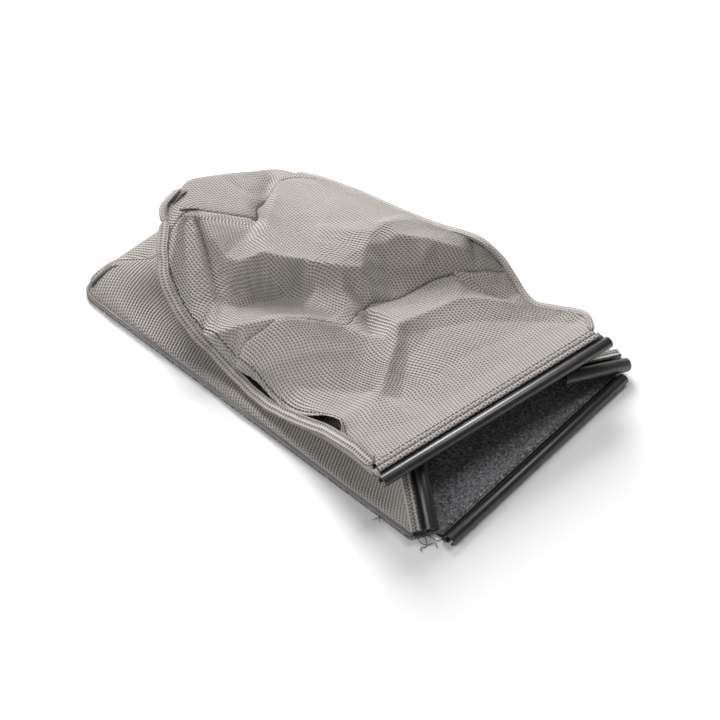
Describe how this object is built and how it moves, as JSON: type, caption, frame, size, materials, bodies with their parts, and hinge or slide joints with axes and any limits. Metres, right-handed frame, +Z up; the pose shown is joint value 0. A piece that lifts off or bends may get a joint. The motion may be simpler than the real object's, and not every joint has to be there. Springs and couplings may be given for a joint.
{
  "type": "mower grass collection bag",
  "caption": "Soft grass catcher bag of light mesh cloth with a felt bottom and black plastic edge clips round its mouth, lying collapsed.",
  "frame": {"origin": "Middle of the flat underside of the felt bottom panel, on the floor.", "axes": "+X across the mouth along the bottom clip, +Y from the mouth to the rear end, +Z up."},
  "size_m": [0.373, 0.6025, 0.1007],
  "materials": {
    "mesh": "coarse light warm grey woven polyester mesh",
    "seam_tape": "folded mesh seam allowance, stitched in dark thread",
    "piping": "dark overlocked seam",
    "felt": "black needled felt with light fibre flecks",
    "clip_plastic": "extruded black plastic, glossy"
  },
  "bodies": {
    "root": {"top_front_panel": "mesh", "top_rear_panel": "mesh", "rear_panel": "mesh", "left_side_panel": "mesh", "right_side_panel": "mesh", "left_seam": "seam_tape", "right_seam": "seam_tape", "bottom_binding": "seam_tape", "left_corner_piping": "piping", "right_corner_piping": "piping", "bottom_panel": "felt", "top_clip": "clip_plastic", "bottom_clip": "clip_plastic", "left_clip": "clip_plastic", "right_clip": "clip_plastic"}
  },
  "joints": []
}
